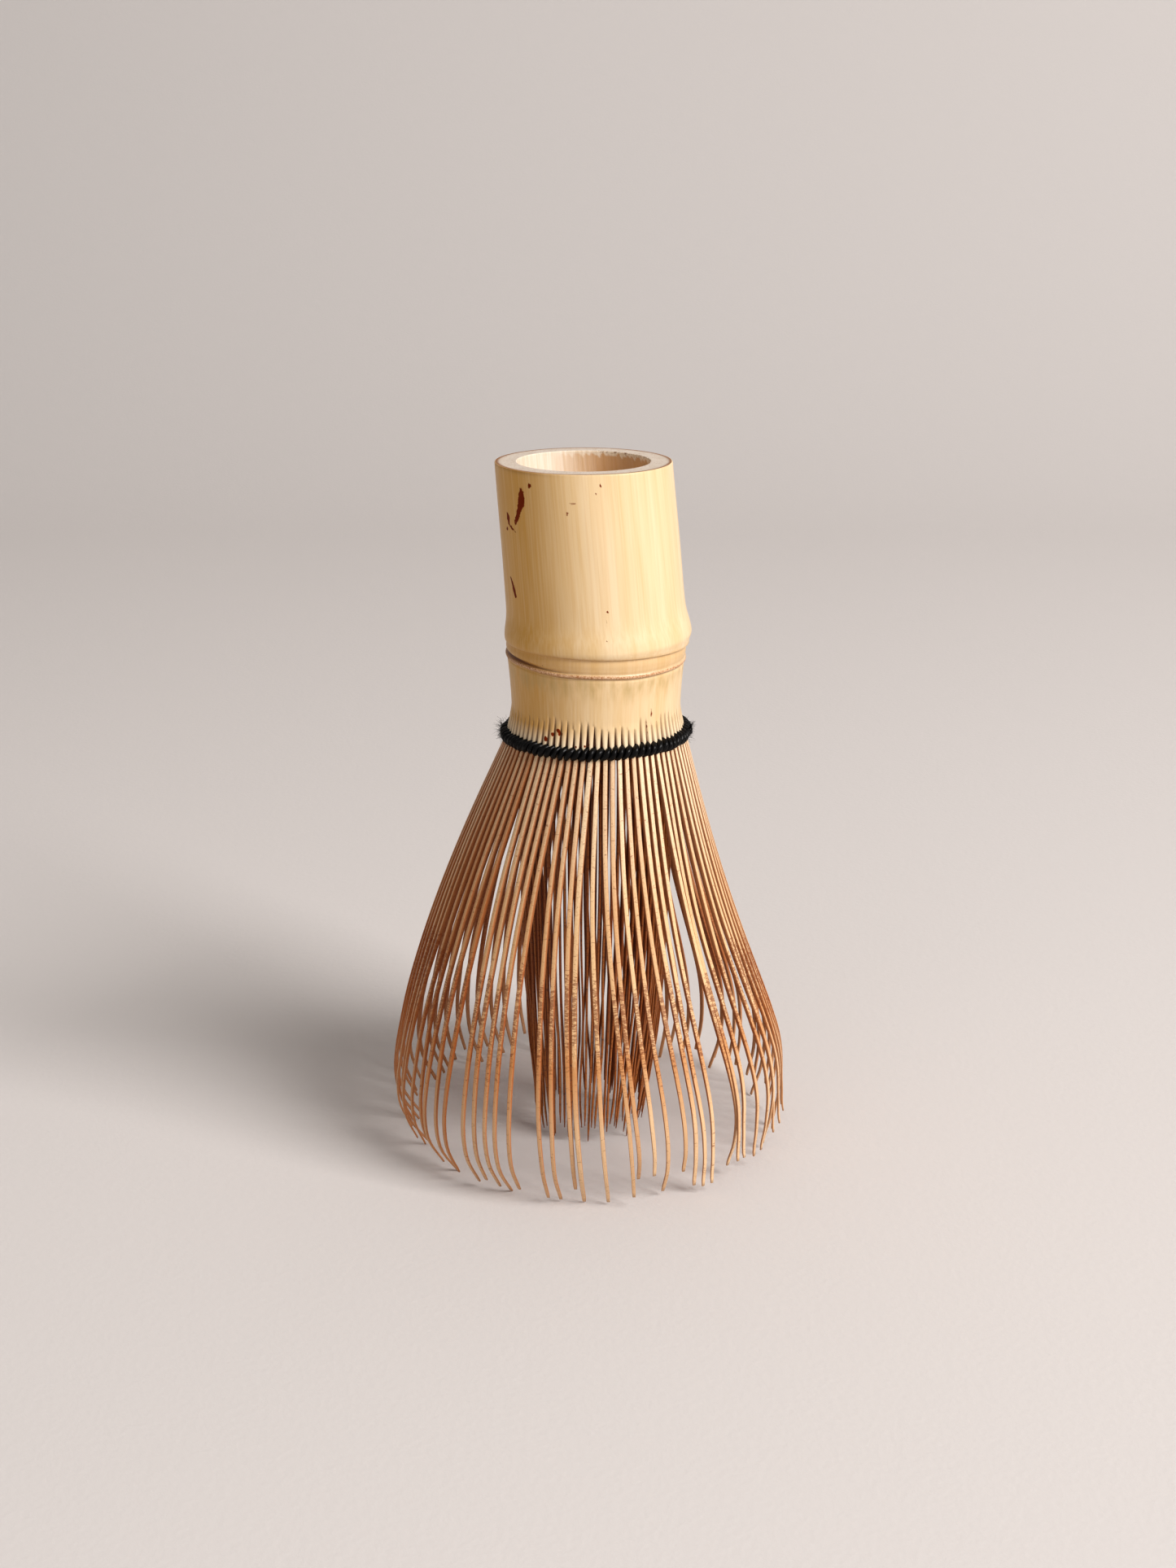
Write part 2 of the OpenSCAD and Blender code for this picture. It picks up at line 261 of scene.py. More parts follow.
def inner_wall(name, pale_colour, deep_colour, foot, lean):
    """Inside of the culm: soft pith wood with a dry matt face and a straight grain."""
    material, tree = bare_material(name)
    place = add(tree, "ShaderNodeTexCoord").outputs["Object"]
    grain = add(tree, "ShaderNodeMapping", {
        "Vector": place, "Location": foot, "Rotation": (0, -lean, 0),
        "Scale": (0.0004, 0.0004, 0.009)}, vector_type="TEXTURE").outputs[0]
    grain = add(tree, "ShaderNodeTexNoise", {"Vector": grain, "Scale": 1, "Detail": 4}).outputs[0]
    share = add(tree, "ShaderNodeMapRange", {
        "Value": grain, "From Min": 0.35, "From Max": 0.75}).outputs[0]
    wood = add(tree, "ShaderNodeMix", {0: share, 6: linear(pale_colour), 7: linear(deep_colour)},
               data_type="RGBA").outputs[2]
    # painted shade: where the bore's wall faces away from the light it is painted a deeper brown
    painted_bore_shade = add(tree, "ShaderNodeAttribute", attribute_name="painted_bore_shade").outputs["Fac"]
    wood = add(tree, "ShaderNodeMix", {0: painted_bore_shade, 6: wood, 7: linear("#CC9450")},
               data_type="RGBA").outputs[2]
    # the edge of the bore is frayed in crumbs of about 0.4 mm, and on the right, where the wall lies
    # in shade, these are painted brown as shade
    crumb = add(tree, "ShaderNodeTexNoise", {"Vector": place, "Scale": 2600, "Detail": 4}).outputs[0]
    frayed_edge_shade = add(tree, "ShaderNodeAttribute", attribute_name="frayed_edge_shade").outputs["Fac"]
    frayed_edge_shade = add(tree, "ShaderNodeMath", {0: crumb, 1: 0.9, 2: frayed_edge_shade},
                 operation="MULTIPLY_ADD").outputs[0]
    frayed_edge_shade = add(tree, "ShaderNodeMapRange", {
        "Value": frayed_edge_shade, "From Min": 0.85, "From Max": 1.1, "To Max": 0.85}).outputs[0]
    wood = add(tree, "ShaderNodeMix", {0: frayed_edge_shade, 6: wood, 7: linear("#8A5A2C")},
               data_type="RGBA").outputs[2]
    relief = add(tree, "ShaderNodeBump", {
        "Height": grain, "Strength": 0.6, "Distance": 0.0001}).outputs[0]
    shader = add(tree, "ShaderNodeBsdfPrincipled", {
        "Base Color": wood, "Roughness": 0.75, "Normal": relief, "IOR": 1.45})
    add(tree, "ShaderNodeOutputMaterial", {0: shader.outputs[0]})
    return material


def blots(turn, level, marks):
    """Sum of soft oval marks. Each is azimuth and level of its middle, half width, half height,
    slant to the right and strength. It falls off as e to minus the cube of the distance from its
    middle, counted in half widths and half heights."""
    total = np.zeros(np.broadcast(turn, level).shape)
    girth_radius = 13.2
    for azimuth, middle, half_width, half_height, slant, strength in marks:
        away = (turn - math.radians(azimuth) + math.pi) % (2 * math.pi) - math.pi
        across = girth_radius * away
        up = level - middle
        side = across * math.cos(math.radians(slant)) - up * math.sin(math.radians(slant))
        along = across * math.sin(math.radians(slant)) + up * math.cos(math.radians(slant))
        total += strength * np.exp(-((side / half_width) ** 2 + (along / half_height) ** 2) ** 1.5)
    return total


def side_shade_share(turn):
    """How much painted shade the skin takes on the side away from the key light: nothing on the right,
    more towards the left.
    """
    return np.clip((-np.cos(turn) + 0.1) / 0.85, 0, 1) ** 1.4


columns = 320
turn = np.linspace(0, 2 * math.pi, columns, endpoint=False)
share = (np.linspace(0, 1, 100) ** 1.35)[:, None]
crease = crease_level(turn)[None]
level = crease + (top_level - edge_round - crease) * share
skin = on_handle(turn, level, skin_radius(turn, level))
end_skin = skin_radius(turn, top_level + 0 * turn)
# the saw leaves a crisp edge that use has just rounded
bend = np.linspace(0, math.pi / 2, 5)[1:, None]
rounding = on_handle(turn, top_level - edge_round + edge_round * np.sin(bend),
                     end_skin - edge_round * (1 - np.cos(bend)))
across = np.linspace(0, 1, 12)[1:, None]
rim_radius = end_skin - edge_round - (end_skin - edge_round - bore_radius - bore_round) * across
saw_waves = 0.03 * np.sin(math.pi * across) ** 2 * (1 + np.sin(9 * turn))
rim = on_handle(turn, top_level - saw_waves, rim_radius)
inner_bend = on_handle(turn, top_level - bore_round + bore_round * np.cos(bend),
                       bore_radius + bore_round * (1 - np.sin(bend)))
floor_level = node_level + bore_floor * math.cos(handle_lean)
bore_bottom = floor_level + bore_radius * np.cos(turn) * math.sin(handle_lean)
depth = np.linspace(0, 1, 30)[1:, None] ** 1.8
bore_waves = 0.05 * np.sin(3 * turn + 1) * np.sin(math.pi * depth)
bore_top = top_level - bore_round
bore = on_handle(turn, bore_top - (bore_top - bore_bottom) * depth, bore_radius + bore_waves)
ledge_level = floor_level + septum_radius * np.cos(turn) * math.sin(handle_lean)
ledge = on_handle(turn, ledge_level[None], np.full((1, columns), septum_radius))
socket = on_handle(turn, crease, np.full((1, columns), septum_radius))
underside_radii = septum_radius + np.array([[1.1], [2.2], [3.74]])
underside = on_handle(turn, crease + 0 * underside_radii, underside_radii)
handle_points = np.concatenate([skin, rounding, rim, inner_bend, bore, ledge, socket, underside])
rows = len(handle_points)
row = np.arange(rows)[:, None]
outside_rows = len(skin) + len(rounding)
rim_end = outside_rows + len(rim)
# rows of skin, then of sawn end, then of bore
zone = [0] * (outside_rows - 1) + [1] * len(rim)
zone += [2] * (rows - len(zone))
height = handle_points[..., 2]
under_top = top_level - height
up = ((height - node_level) * math.cos(handle_lean)
      - (handle_points[..., 0] - handle_foot) * math.sin(handle_lean))
stains = [
    (225.0, 23.6, 0.7, 1.5, 14, 1.0), (221.8, 21.8, 0.42, 1.7, 26, 1.0),
    (218.2, 20.4, 0.26, 1.0, 30, 0.85), (209.3, 20.6, 0.4, 0.85, -14, 0.95),
    (213.0, 19.2, 1.1, 0.2, 30, 0.72), (206.5, 18.9, 0.35, 0.3, 0, 0.7),
    (209.4, 9.7, 0.42, 1.1, -20, 0.95), (206.6, 11.2, 0.26, 0.8, -32, 0.85),
    (233.2, 25.6, 0.3, 0.38, 0, 0.95), (280.0, 25.2, 0.22, 0.28, 0, 0.85),
    (276.5, 24.0, 0.18, 0.26, 0, 0.72), (261.5, 22.9, 0.5, 0.32, 0, 0.5),
    (258.0, 21.6, 0.32, 0.32, 0, 0.5), (277.5, 7.0, 0.16, 0.3, 0, 0.8),
    (276.6, 5.6, 0.1, 0.2, 0, 0.75), (276.0, 2.9, 0.14, 0.16, 0, 0.8),
    (279.5, 2.7, 0.12, 0.12, 0, 0.75), (40.0, 14.0, 0.4, 1.1, 10, 0.8),
    (95.0, 21.0, 0.2, 0.3, 0, 0.8), (130.0, 8.0, 0.3, 0.9, -15, 0.75),
]
ridge_foot = np.exp(-((height - crease_level(turn)) / 0.28) ** 2)
fringe = 0.5 + 0.16 * np.sin(29 * turn) + 0.14 * np.sin(47 * turn + 1) + 0.12 * np.sin(71 * turn + 2)
# painted shade in the crease under the ridge, towards the front left
crease_shade = 0.3 * ridge_foot ** 4 * np.exp(-((turn - math.radians(252)) / 0.35) ** 2)
finger_marks = (0.3 * np.exp(-(under_top / 0.45) ** 2)
                * np.exp(-((turn - math.radians(228)) / 0.42) ** 2))
# the rim's worn edge is darkest where the skin ends, and fades within two rows on the sawn end
edge = np.concatenate([np.zeros(len(skin)), np.linspace(0.3, 1, len(rounding)),
                       0.8 * np.exp(-np.arange(rows - outside_rows) / 0.6)])
# painted shade on the back right wall of the bore, which faces away from the key light, below the pale
# fringe at the top
bore_shade_side = 0.72 * np.clip(np.cos(turn - 0.55) * 1.5 - 0.1, 0, 1)
# painted shade on the frayed top edge of the bore, on the right, away from the light
frayed_edge_side = 0.5 * np.exp(-(under_top / 0.9)) * np.clip(0.35 + np.cos(turn - 0.35), 0, 1)
handle_layers = {
    "stain": blots(turn[None], up, stains) * (row < len(skin) + 3),
    "painted_bore_shade": bore_shade_side * np.clip((under_top - fringe) / 0.15, 0, 1),
    # painted shade on the left side, away from the key light
    "painted_side_shade": side_shade_share(turn) + 0 * height,
    "band": 0.4 * ridge_foot,
    # painted shade in the crease, and dirt by the rim
    "shade_and_dirt": crease_shade + finger_marks,
    "edge": edge[:, None] + 0 * turn,
    "frayed_edge_shade": frayed_edge_side * (row >= rim_end - 1),
}
handle_place = (handle_foot * 0.001, 0, node_level * 0.001)
bore_wood = inner_wall("bore_pith_wood", "#F6E8D6", "#E3CDB0", handle_place, handle_lean)
handle = grid_mesh("culm_handle", handle_points[::-1], True, [
    culm_skin("bleached_culm_skin", handle_place, handle_lean), sawn_end(), bore_wood],
    {key: values[::-1] for key, values in handle_layers.items()}, zone[-2::-1] + zone[-1:])
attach(handle, "culm")
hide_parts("handle")

# ---------------------------------------------------------------------------------------------
# Septum: the diaphragm that the culm grows across its hollow at every node.
# Woody pith, left whole when the culm is cut, and so grown into the wall all round.

ring_count, spoke_count = 26, 96
spoke = np.linspace(0, 2 * math.pi, spoke_count, endpoint=False)
reach = np.linspace(0.004, 1, ring_count)[:, None] * (septum_radius - 0.02)
dish = 0.45 * (1 - (reach / septum_radius) ** 2)
ripple = 0.05 * np.sin(6 * spoke + 2.2 * reach) * (reach / septum_radius)
tilt = reach * np.cos(spoke) * math.sin(handle_lean)
upper = on_handle(spoke, floor_level - 0.05 - dish + ripple * 0.6 + tilt, reach + 0 * spoke)
lower = on_handle(spoke, node_level + 0.15 + dish * 0.7 + ripple, reach + 0 * spoke)
septum_points = np.concatenate([lower, upper[::-1]])
septum = grid_mesh("node_septum", septum_points, False, [
    inner_wall("septum_pith", "#E9D2A8", "#C39D68", handle_place, handle_lean)])
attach(septum, "culm")
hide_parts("septum")

# ---------------------------------------------------------------------------------------------
# Collar: the culm below the node, down to where its wall is split into the roots of the tines.
# The same bamboo, with the raised scar of the sheath that wrapped it. A knife starts the splits,
# and each runs up to its own height under the waist.

collar_x = 1.2
waist_level = 69.4
waist_radius = 12.75
root_level = 64.0
tine_count = 80
first_tine = math.radians(-93.4 - 2 * 4.5)     # azimuth of the first group's first tine
pitch = math.radians(4.5)


def scar_level(turn):
    """Level of the sheath scar, lower at the front and on the right."""
    return 77.1 - 0.38 * np.cos(turn) - 0.45 * np.maximum(0, -np.sin(turn)) + 0.05 * np.sin(7 * turn)


def collar_radius(turn, level):
    """Radius of the collar: hollow from the scar to the waist, then splaying as the 1.3rd power
    of the depth, with the scar's lip standing on it and the crease's valley above."""
    scar = scar_level(turn)
    rise = np.clip((level - waist_level) / (77.4 - waist_level), 0, None)
    drop = np.clip((waist_level - level) / (waist_level - root_level), 0, None)
    body = waist_radius + 0.62 * np.minimum(rise, 1) ** 1.5 + 1.15 * drop ** 1.3
    above = level - scar
    lip = 0.2 * np.exp(-(above / 0.25) ** 6)
    undercut = -0.1 * np.exp(-((above + 0.5) / 0.16) ** 2)
    left = np.clip(np.cos(turn - math.radians(192)), 0, 1) ** 3
    crack = -(0.06 + 0.42 * left) * np.exp(-((above - 0.5) / (0.14 + 0.12 * left)) ** 2)
    valley = 0.1 * np.exp(-((level - crease_level(turn) + 1.0) / 0.6) ** 2)
    return body + lip + undercut + crack + valley


rng = np.random.default_rng(5)
slit_top = 69.1 + rng.uniform(-0.75, 0.75, tine_count)
slit_lean = rng.uniform(-0.06, 0.06, tine_count)
slit_wide = rng.uniform(0.85, 1.15, tine_count)
levels = np.concatenate([
    np.linspace(0, 0.34, 40, endpoint=False), np.linspace(0.34, 0.7, 14, endpoint=False),
    np.linspace(0.7, 1, 26)])[:, None, None]
slit_azimuth = first_tine + pitch * (np.arange(tine_count) + 0.5)
crease_there = crease_level(slit_azimuth)[None, :, None]
collar_foot = 65.0
level = crease_there + (collar_foot - crease_there) * levels
# how far each slit has opened at a level: nothing above its point, then the 0.8th power of the depth
under = np.clip((slit_top[None, :, None] - level) / 3.6, 0, 1)
opening = 0.27 * slit_wide[None, :, None] * under ** 0.8
lip_place = 0.06 + (opening - 0.06) * np.clip(under * 12, 0, 1)
floor_place = np.minimum(lip_place * 0.8, 0.19)
middle = slit_lean[None, :, None] * np.clip(under * 2, 0, 1) * (1 - under)
# eight columns of points for each slit: two on its floor, its lip, four on the root, the next lip.
# The rows of numbers say which lie on the floor, how much each is rounded off, how much painted shade
# darkens it inside the slit, and how dark the hairline is above the slit's point
place = np.concatenate([
    middle - floor_place, middle + floor_place, middle + lip_place,
    0.37 + 0 * middle, 0.45 + 0 * middle, 0.55 + 0 * middle, 0.63 + 0 * middle], 2)
floor_columns = np.array([1, 1, 0, 0, 0, 0, 0, 0])
round_columns = np.array([0, 0, 1, 0.35, 0, 0, 0.35, 1])
dark_columns = np.array([1, 1, 0.15, 0, 0, 0, 0, 0.15])
point_columns = np.array([0.55, 0.55, 0.25, 0, 0, 0, 0, 0.25])
next_middle = np.roll(middle, -1, 1)
next_lip = np.roll(lip_place, -1, 1)
place = np.concatenate([place, 1 + next_middle - next_lip], 2)
column_turn = slit_azimuth[None, :, None] + pitch * place
next_level = np.roll(level, -1, 1)
blend_share = np.clip(place, 0, 1)
column_level = level * (1 - blend_share) + next_level * blend_share
slit_depth = floor_columns * 0.6 * np.clip(under * 3, 0, 1) ** 0.7
rounded = 0.05 * np.clip(under * 2, 0, 1) * round_columns
radius = collar_radius(column_turn, column_level) - slit_depth - rounded
count = len(levels)
flat = (count, tine_count * len(floor_columns))
column_turn, column_level, radius = (v.reshape(flat) for v in (column_turn, column_level, radius))


def round_collar(turn, level, radius):
    """Point at an azimuth, level and radius from the collar's upright axis."""
    return np.stack([collar_x + radius * np.cos(turn), radius * np.sin(turn), level + 0 * turn], -1)


outside = round_collar(column_turn, column_level, radius)
last = column_turn[-1:]
collar_bore = 9.9
thinnest = 0.12            # of the wall that is left at the foot, behind a slit
foot_ring = round_collar(last, collar_foot, np.minimum(12.86, radius[-1:] - thinnest))
inside_line = [(12.15, 68.4), (11.88, 68.5), (11.88, 71.2), (collar_bore, 73.2), (collar_bore, 76.2)]
inside = [round_collar(last, height, reach) for reach, height in inside_line]
first_turn = column_turn[:1]
crown = [round_collar(first_turn, crease_level(first_turn) - 0.02, np.full_like(last, reach))
         for reach in (collar_bore, 11.5)]
collar_points = np.concatenate([outside, foot_ring] + inside + crown)
rows = len(collar_points)
from_scar = column_level - scar_level(column_turn)
left = np.clip(np.cos(column_turn - math.radians(192)), 0, 1) ** 3
# painted shade inside the slits
in_slit = (dark_columns * np.clip(under * 8, 0, 1)).reshape(flat)
# the split runs on above each slit's point as a hairline, for 0.2 to 0.7 mm
hairline = rng.uniform(0.2, 0.7, tine_count)[None, :, None]
over_slit = np.exp(-np.clip(level - slit_top[None, :, None], 0, None) / hairline)
over_slit = (point_columns * over_slit).reshape(flat)
collar_stains = [
    (235.8, 66.8, 0.35, 0.4, 0, 1.0), (241.0, 67.6, 0.4, 0.3, 20, 1.0),
    (244.3, 68.3, 0.3, 0.3, 0, 0.95), (246.0, 67.8, 0.35, 0.35, 0, 0.95),
    (257.0, 66.2, 0.16, 0.16, 0, 0.8), (262.8, 66.3, 0.2, 0.2, 0, 0.75),
    (265.4, 66.6, 0.16, 0.16, 0, 0.75), (269.6, 70.4, 0.16, 0.7, 0, 0.6),
    (309.1, 70.4, 0.14, 0.8, 0, 0.6), (305.2, 68.2, 0.2, 1.6, 4, 0.62),
    (60.0, 72.0, 0.3, 0.6, 0, 0.7), (150.0, 70.0, 0.2, 1.0, 0, 0.7),
    (234.0, 77.9, 0.16, 0.12, 0, 0.8),
]
under_scar = from_scar < -0.4
# painted shade in the undercut below the scar's lip, and in the crack above it, darkest on the left
scar_undercut_shade = (0.7 + 0.15 * np.sin(column_turn * 3)) * np.exp(-((from_scar + 0.31) / 0.08) ** 2)
crack_shade = (0.28 + 0.9 * left) * np.exp(-((from_scar - 0.4) / (0.08 + 0.12 * left)) ** 2)
collar_layers = {
    # painted shade on the left side, away from the key light
    "painted_side_shade": side_shade_share(column_turn),
    "peel": np.clip((68.4 - column_level) / 2.2, 0, 1),
    "mottle": 0.85 * np.exp(-((from_scar + 1.7) / 1.7) ** 2) * under_scar,
    "band": 0.4 * np.clip((from_scar - 0.3) / 0.3, 0, 1) + 0.1 * under_scar,
    "lip": np.exp(-(from_scar / 0.25) ** 8),
    # painted shade under the scar's lip, in its crack and in the slits, and the dark hairline splits
    "shade_and_dirt": np.clip(scar_undercut_shade + crack_shade + in_slit * 0.8 + over_slit * 0.35, 0, 1),
    "stain": blots(column_turn, column_level, collar_stains) * (1 - in_slit),
}
unmarked = np.zeros((rows - count, flat[1]))
collar = grid_mesh("culm_collar", collar_points, True, [
    culm_skin("bleached_collar_skin", (collar_x * 0.001, 0, 0), 0),
    inner_wall("collar_inner_wood", "#C79C62", "#96683A", (collar_x * 0.001, 0, 0), 0)],
    {key: np.concatenate([values, unmarked]) for key, values in collar_layers.items()},
    [0] * (count - 1) + [1] * (rows - count + 1))
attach(collar, "culm")
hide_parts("collar")

# ---------------------------------------------------------------------------------------------
# Outer tines: eighty blades split from the culm's outer wall, in sixteen groups of five.
# The maker shaves each one thinner towards its tip, takes off its edges with a knife and curls
# the end inwards over steam, so they spread into a ring that is drawn in at the foot.


def cut_blades(names):
    """Corner points of the blades in the CAD nodes, blades by stations by 4 by xyz, from the root
    down. Points that coincide are made one, and points that share a triangle are one blade."""
    blades = []
    for name in names:
        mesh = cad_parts[name].data
        points = np.empty(len(mesh.vertices) * 3)
        mesh.vertices.foreach_get("co", points)
        links = np.empty(len(mesh.loops), np.int32)
        mesh.loops.foreach_get("vertex_index", links)
        points = np.round(points.reshape(-1, 3) * 1000, 3)
        points, same = np.unique(points, axis=0, return_inverse=True)
        links = same.reshape(-1)[links].reshape(-1, 3)
        mark = np.arange(len(points))
        for _ in range(60):
            lowest = np.repeat(mark[links].min(1), 3)
            np.minimum.at(mark, links.reshape(-1), lowest)
        own = [points[mark == m] for m in np.unique(mark)]
        own = np.stack([p[np.argsort(-p[:, 2], kind="stable")].reshape(-1, 4, 3) for p in own])
        around = np.arctan2(own[:, 0, :, 1].mean(1), own[:, 0, :, 0].mean(1) - collar_x)
        middle = math.atan2(np.sin(around).sum(), np.cos(around).sum())
        blades.append(own[np.argsort((around - middle + math.pi) % (2 * math.pi))])
    return np.concatenate(blades)


def smooth_line(points, at):
    """Curve through points, first axis, at positions counted in points. Between two of them it
    is the cubic whose slope at each point is half the step between that point's neighbours."""
    ends = np.concatenate([2 * points[:1] - points[1:2], points, 2 * points[-1:] - points[-2:-1]])
    first = np.minimum(at.astype(int), len(points) - 2)
    part = (at - first).reshape((-1,) + (1,) * (points.ndim - 1))
    a, b, c, d = (ends[first + i] for i in range(4))
    return b + 0.5 * part * (c - a + part * (2 * a - 5 * b + 4 * c - d + part * (3 * (b - c) + d - a)))


def tube_mesh(name, rings, material, layers):
    """Object of closed bars from rings of points in millimetres, bars by rings by sides. Each
    ring is joined to the next, and a flat face closes each end."""
    bars, count, sides = rings.shape[:3]
    bar, ring, side = np.meshgrid(np.arange(bars), np.arange(count - 1), np.arange(sides),
                                  indexing="ij")
    here = (bar * count + ring) * sides
    corners = [here + side, here + (side + 1) % sides,
               here + sides + (side + 1) % sides, here + sides + side]
    faces = np.stack(corners, -1).reshape(-1, 4).tolist()
    start = np.arange(bars)[:, None] * count * sides
    faces += (start + np.arange(sides)[::-1]).tolist()
    faces += (start + (count - 1) * sides + np.arange(sides)).tolist()
    layers = {key: np.broadcast_to(values, rings.shape[:3]) for key, values in layers.items()}
    return smooth_object(name, rings, faces, [material], layers)


def blade_bars(corners, above, ring_places, widths, thicknesses, sway, sides):
    """Rings of points round blades, the length down to each, and the place of each side across the
    width and the thickness, from -1 to 1. The middle line and the outward direction come from the
    corner points, and above is the rise and run of the end that goes into the root. Sway moves the
    line sideways, outwards and up. A ring is a rectangle with rounded corners: the cosine and the
    sine of the turn round it, each to the power 0.28, times half the width and half the thickness."""
    squareness = 0.28
    middle = corners.mean(2)
    run = middle[:, 6, :2] - middle[:, 0, :2]
    run /= np.linalg.norm(run, axis=1, keepdims=True)
    outward = middle[:, 0, :2] - np.array([collar_x, 0])
    run *= np.sign((run * outward).sum(1, keepdims=True))
    rise, gain = above
    top = middle[:, :1] + np.concatenate([run * gain, np.full((len(run), 1), rise)], 1)[:, None]
    line = np.moveaxis(np.concatenate([top, middle], 1), 1, 0)
    line = np.moveaxis(smooth_line(line, ring_places), 0, 1)
    side_way = np.stack([-run[:, 1], run[:, 0], 0 * run[:, 0]], -1)[:, None]
    out_way = np.concatenate([run, 0 * run[:, :1]], 1)[:, None]
    line = line + side_way * sway[0][..., None] + out_way * sway[1][..., None]
    line[..., 2] += sway[2]
    tangent = np.gradient(line, axis=1)
    tangent /= np.linalg.norm(tangent, axis=2, keepdims=True)
    facing = np.cross(side_way, tangent)
    facing /= np.linalg.norm(facing, axis=2, keepdims=True)
    facing *= np.sign((facing * out_way).sum(2, keepdims=True))
    angle = (np.arange(sides) + 0.5) * 2 * math.pi / sides
    wide = np.sign(np.cos(angle)) * np.abs(np.cos(angle)) ** squareness
    thick = np.sign(np.sin(angle)) * np.abs(np.sin(angle)) ** squareness
    rings = (line[:, :, None] + side_way[:, :, None] * (wide * widths[..., None] / 2)[..., None]
             + facing[:, :, None] * (thick * thicknesses[..., None] / 2)[..., None])
    steps = np.linalg.norm(np.diff(line, axis=1), axis=2)
    length = np.concatenate([np.zeros((len(line), 1)), np.cumsum(steps, 1)], 1)
    return rings, length, wide, thick


def tine_bamboo(name, colours):
    """Shaved bamboo tine. The skin side is pale and keeps a soft gloss, and the cut sides are matt
    and amber, painted darker as shade between the tines. Where the blade was thinned, the knife's
    chatter left brown ticks across it. The colours are those of the root, the shank, the thinned
    part, the end, the cut sides with their painted shade and the ticks."""
    root, shank, thinned, end, cut, tick = (linear(colour) for colour in colours)
    material, tree = bare_material(name)
    place = add(tree, "ShaderNodeTexCoord").outputs["Object"]
    along = add(tree, "ShaderNodeAttribute", attribute_name="down").outputs["Fac"]
    tone = add(tree, "ShaderNodeAttribute", attribute_name="tone").outputs["Fac"]
    skin = add(tree, "ShaderNodeAttribute", attribute_name="skin").outputs["Fac"]
    knife = add(tree, "ShaderNodeAttribute", attribute_name="knife").outputs["Fac"]
    # fibres 0.15 mm apart along the blade
    grain = add(tree, "ShaderNodeMapping", {"Vector": place, "Scale": (0.00015, 0.00015, 0.006)},
                vector_type="TEXTURE").outputs[0]
    grain = add(tree, "ShaderNodeTexNoise", {"Vector": grain, "Scale": 1, "Detail": 3}).outputs[0]
    shifted = add(tree, "ShaderNodeMath", {0: grain, 1: 0.12, 2: along},
                  operation="MULTIPLY_ADD").outputs[0]
    ramp = add(tree, "ShaderNodeValToRGB", {0: shifted})
    stops = ramp.color_ramp.elements
    stops[0].position, stops[0].color = 0.06, root
    stops[1].position, stops[1].color = 1.0, end
    for position, colour in ((0.32, shank), (0.6, shank), (0.66, thinned), (0.84, end)):
        stops.new(position).color = colour
    # each blade's tone deepens it to amber: the tone varies at random, and on the outer tines it also
    # carries painted shade on the left side
    wood = add(tree, "ShaderNodeMix", {0: tone, 6: ramp.outputs[0], 7: linear("#BA7436")},
               data_type="RGBA").outputs[2]
    # chatter marks: short brown ticks across the blade, 0.3 mm apart
    ticks = add(tree, "ShaderNodeMapping", {"Vector": place, "Scale": (0.0008, 0.0008, 0.0003)},
                vector_type="TEXTURE").outputs[0]
    ticks = add(tree, "ShaderNodeTexNoise", {
        "Vector": ticks, "Scale": 1, "Detail": 4, "Distortion": 1.2}).outputs[0]
    marks = add(tree, "ShaderNodeMath", {0: knife, 1: 0.2, 2: ticks},
                operation="MULTIPLY_ADD").outputs[0]
    marks = add(tree, "ShaderNodeMapRange", {
        "Value": marks, "From Min": 0.6, "From Max": 0.74, "To Max": 0.7}).outputs[0]
    wood = add(tree, "ShaderNodeMix", {0: marks, 6: wood, 7: tick}, data_type="RGBA").outputs[2]
    # painted shade: the cut sides are darkened to stand in for the shade between the tines
    sides = add(tree, "ShaderNodeMapRange", {
        "Value": skin, "From Min": 0.1, "From Max": 0.7, "To Min": 0.75, "To Max": 0}).outputs[0]
    wood = add(tree, "ShaderNodeMix", {0: sides, 6: wood, 7: cut}, data_type="RGBA").outputs[2]
    streak = add(tree, "ShaderNodeMapRange", {
        "Value": grain, "From Min": 0.5, "From Max": 0.8, "To Max": 0.35}).outputs[0]
    wood = add(tree, "ShaderNodeMix", {0: streak, 6: wood, 7: linear("#B06A2C")},
               data_type="RGBA").outputs[2]
    rough = add(tree, "ShaderNodeMapRange", {"Value": skin, "To Min": 0.65, "To Max": 0.42}).outputs[0]
    relief = add(tree, "ShaderNodeBump", {
        "Height": grain, "Strength": 0.4, "Distance": 0.00004}).outputs[0]
    shader = add(tree, "ShaderNodeBsdfPrincipled", {
        "Base Color": wood, "Roughness": rough, "Normal": relief, "IOR": 1.5})
    add(tree, "ShaderNodeOutputMaterial", {0: shader.outputs[0]})
    return material


groups = [f"{number:02d}" for number in range(1, 17)]
outer = cut_blades([f"outer_tines_{group}" for group in groups])
per_group = 5
rings, blade_sides = 40, 12
places = np.linspace(0, 1, rings)
# place 0 is the end inside the root, 1 is where the CAD blade starts and 13 is its tip, and the
# rings lie closer together towards the tip
places = 13 * (0.25 * places + 0.75 * (1 - (1 - places) ** 1.25))
down = np.clip((places - 1) / 12, 0, 1)[None]
wave = rng.uniform(0, 2 * math.pi, (4, tine_count, 1))
size = rng.normal(0, 1, (4, tine_count, 1))
slow_sway = 0.12 * size[0] * np.sin(3.1 * down * math.pi + wave[0])
quick_sway = 0.04 * size[1] * np.sin(7 * down * math.pi + wave[1])
sideways = down ** 1.5 * (slow_sway + quick_sway)
